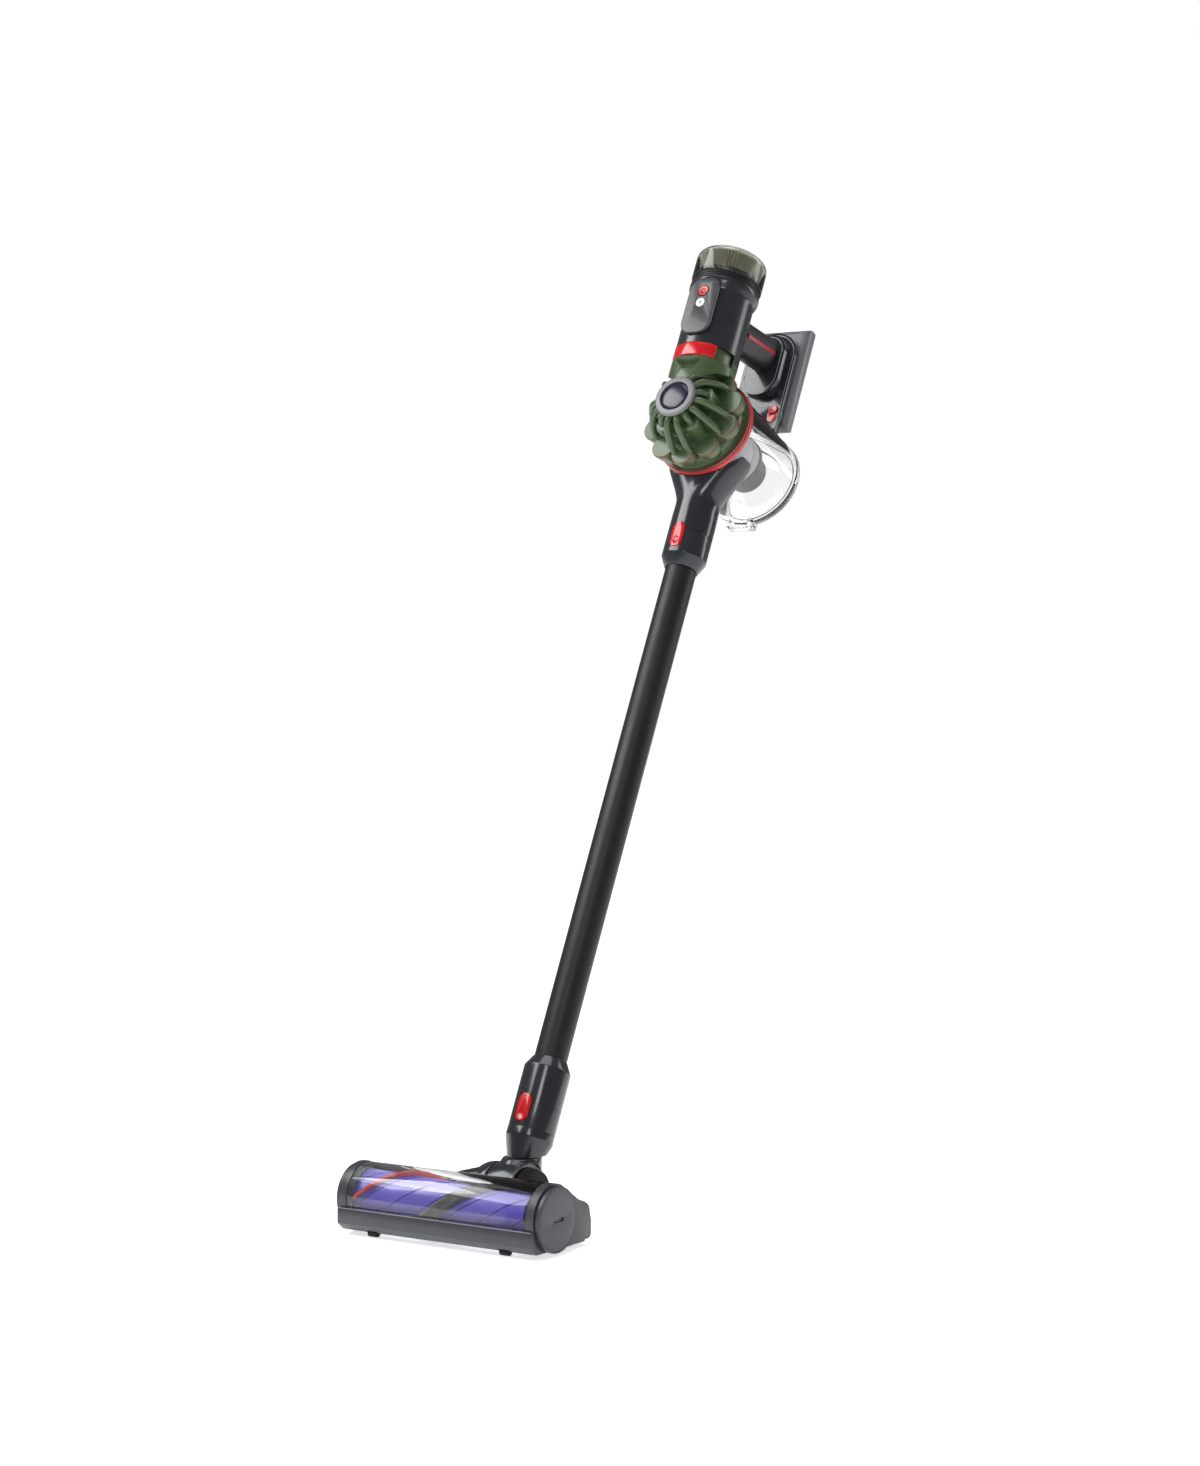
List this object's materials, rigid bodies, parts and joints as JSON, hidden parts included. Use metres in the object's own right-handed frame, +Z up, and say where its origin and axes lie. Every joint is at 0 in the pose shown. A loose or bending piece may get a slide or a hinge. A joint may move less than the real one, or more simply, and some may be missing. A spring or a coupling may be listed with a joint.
{
  "type": "cordless stick vacuum",
  "caption": "Upright cordless stick vacuum: handheld cyclone body with clear bin and battery foot, slim wand, and a motorised roller head on a swivelling elbow.",
  "frame": {"origin": "centre of the object's box at floor level, under the wand", "axes": "+Z up, -Y towards the front of the cleaner head, +Y towards the user, +X along the brush bar to the right seen from the front"},
  "size_m": [0.25, 0.6989, 1.0489],
  "materials": {
    "gloss_dark": "glossy moulded dark blue-grey",
    "matt_black": "satin black",
    "wand_black": "satin black anodised tube",
    "head_grey": "fine satin grey",
    "release_red": "glossy red",
    "crimson": "satin crimson",
    "cyclone_green": "satin olive green",
    "cap_grey": "satin metallic grey",
    "lens_dark": "deep purple-black gloss",
    "clear": "clear polycarbonate",
    "smoke": "smoky clear",
    "pack_grey": "satin metallic grey",
    "brush_purple": "satin purple",
    "bristle_red": "red nylon filament",
    "carbon": "black carbon filament",
    "rubber": "black rubber",
    "shroud_grey": "pale perforated mesh",
    "filter_white": "cream pleated paper and felt",
    "steel": "plain steel",
    "board_green": "circuit board",
    "cell_blue": "sleeved cells",
    "key_white": "white"
  },
  "bodies": {
    "main_body": {"motor_housing": "gloss_dark", "exhaust_grille": "matt_black", "control_panel": "gloss_dark", "control_board": "board_green", "motor_stator": "steel", "motor_mount": "rubber", "handle_grip": "matt_black", "grip_line_left": "crimson", "grip_line_right": "crimson", "handle_foot": "matt_black", "bin_body": "clear", "bin_rim_ring": "release_red", "inlet_duct": "gloss_dark", "lid_hinge_pin": "steel"},
    "motor_rotor": {"motor_shaft": "steel", "impeller": "gloss_dark"},
    "filter_unit": {"filter_cap": "smoke", "exhaust_filter": "filter_white"},
    "power_key": {"power_button": "release_red"},
    "mode_key": {"mode_button": "key_white"},
    "cyclone_unit": {"cyclone_pack": "cyclone_green", "outlet_shoulder": "cyclone_green", "bin_gasket": "rubber", "shroud": "shroud_grey", "shroud_cup": "matt_black"},
    "lever": {"release_lever": "release_red"},
    "prefilter": {"prefilter_cap": "cap_grey", "prefilter_lens": "lens_dark", "prefilter_sleeve": "filter_white"},
    "lid": {"bin_lid": "clear"},
    "battery": {"battery_case": "pack_grey", "battery_cover": "matt_black", "battery_cells_lower": "cell_blue", "battery_cells_upper": "cell_blue"},
    "battery_key": {"battery_button": "release_red"},
    "wand": {"wand_tube": "wand_black", "wand_cuff": "gloss_dark"},
    "wand_key": {"wand_button": "release_red"},
    "neck": {"neck_socket": "gloss_dark"},
    "neck_key": {"neck_button": "release_red"},
    "elbow": {"elbow": "gloss_dark"},
    "head": {"head_housing": "head_grey", "head_window": "clear", "sole_plate": "head_grey", "rear_seal_strip": "carbon", "left_end_cover": "head_grey", "brush_motor": "steel", "bellows_left": "rubber", "bellows_right": "rubber", "pitch_pin_left": "steel", "pitch_pin_right": "steel"},
    "brush": {"brush_bar": "brush_purple", "bristle_strip": "bristle_red", "carbon_strip": "carbon", "brush_spindle": "steel"},
    "end_cap": {"end_cap": "head_grey"},
    "front_roller_left": {"front_roller_left": "rubber"},
    "front_roller_right": {"front_roller_right": "rubber"},
    "rear_wheel_left": {"rear_wheel_left": "rubber"},
    "rear_wheel_right": {"rear_wheel_right": "rubber"}
  },
  "joints": [
    {"name": "motor_spin", "type": "hinge", "parent": "main_body", "child": "motor_rotor", "pos_m": [0, 0.1756, 0.94908], "axis": [0, 0.4395, 0.8983], "continuous": true},
    {"name": "filter_pull", "type": "slide", "parent": "main_body", "child": "filter_unit", "axis": [0, 0.4395, 0.8983], "range_m": [0, 0.05]},
    {"name": "power_press", "type": "slide", "parent": "main_body", "child": "power_key", "axis": [0, 0.8983, -0.4395], "range_m": [0, 0.001], "stiffness_N_per_m": 250, "springref_m": -0.001},
    {"name": "mode_press", "type": "slide", "parent": "main_body", "child": "mode_key", "axis": [0, 0.8983, -0.4395], "range_m": [0, 0.001], "stiffness_N_per_m": 250, "springref_m": -0.001},
    {"name": "cyclone_lift", "type": "slide", "parent": "main_body", "child": "cyclone_unit", "axis": [0, -0.8983, 0.4395], "range_m": [0, 0.05]},
    {"name": "lever_pull", "type": "slide", "parent": "cyclone_unit", "child": "lever", "axis": [0, -0.8983, 0.4395], "range_m": [0, 0.006], "stiffness_N_per_m": 300, "springref_m": -0.001},
    {"name": "prefilter_pull", "type": "slide", "parent": "cyclone_unit", "child": "prefilter", "axis": [0, -0.8983, 0.4395], "range_m": [0, 0.06]},
    {"name": "lid_open", "type": "hinge", "parent": "main_body", "child": "lid", "pos_m": [0, 0.24089, 0.73211], "axis": [-1, 0, 0], "range_deg": [0, 95]},
    {"name": "battery_pull", "type": "slide", "parent": "main_body", "child": "battery", "axis": [0, 0.8983, -0.4395], "range_m": [0, 0.045]},
    {"name": "battery_key_press", "type": "slide", "parent": "main_body", "child": "battery_key", "axis": [0, 0.8983, -0.4395], "range_m": [0, 0.0016], "stiffness_N_per_m": 250, "springref_m": -0.001},
    {"name": "wand_pull", "type": "slide", "parent": "main_body", "child": "wand", "axis": [0, -0.4395, -0.8983], "range_m": [0, 0.06]},
    {"name": "wand_key_press", "type": "slide", "parent": "wand", "child": "wand_key", "axis": [0, 0.8983, -0.4395], "range_m": [0, 0.0016], "stiffness_N_per_m": 250, "springref_m": -0.001},
    {"name": "neck_pull", "type": "slide", "parent": "wand", "child": "neck", "axis": [0, -0.4395, -0.8983], "range_m": [0, 0.06]},
    {"name": "neck_key_press", "type": "slide", "parent": "neck", "child": "neck_key", "axis": [0, 0.8983, -0.4395], "range_m": [0, 0.0016], "stiffness_N_per_m": 250, "springref_m": -0.001},
    {"name": "neck_swivel", "type": "hinge", "parent": "neck", "child": "elbow", "pos_m": [0, -0.19091, 0.0691], "axis": [0, 0, 1], "range_deg": [-80, 80]},
    {"name": "head_pitch", "type": "hinge", "parent": "elbow", "child": "head", "pos_m": [0, -0.2121, 0.0346], "axis": [1, 0, 0], "range_deg": [-26, 60]},
    {"name": "brush_spin", "type": "hinge", "parent": "head", "child": "brush", "pos_m": [0, -0.3121, 0.0351], "axis": [1, 0, 0], "continuous": true},
    {"name": "end_cap_turn", "type": "hinge", "parent": "head", "child": "end_cap", "pos_m": [0.12, -0.3121, 0.0351], "axis": [1, 0, 0], "range_deg": [0, 90]},
    {"name": "front_roller_left_spin", "type": "hinge", "parent": "head", "child": "front_roller_left", "pos_m": [-0.081, -0.3383, 0.0038], "axis": [1, 0, 0], "continuous": true},
    {"name": "front_roller_right_spin", "type": "hinge", "parent": "head", "child": "front_roller_right", "pos_m": [0.081, -0.3383, 0.0038], "axis": [1, 0, 0], "continuous": true},
    {"name": "rear_wheel_left_spin", "type": "hinge", "parent": "head", "child": "rear_wheel_left", "pos_m": [-0.078, -0.2621, 0.009], "axis": [1, 0, 0], "continuous": true},
    {"name": "rear_wheel_right_spin", "type": "hinge", "parent": "head", "child": "rear_wheel_right", "pos_m": [0.078, -0.2621, 0.009], "axis": [1, 0, 0], "continuous": true}
  ]
}
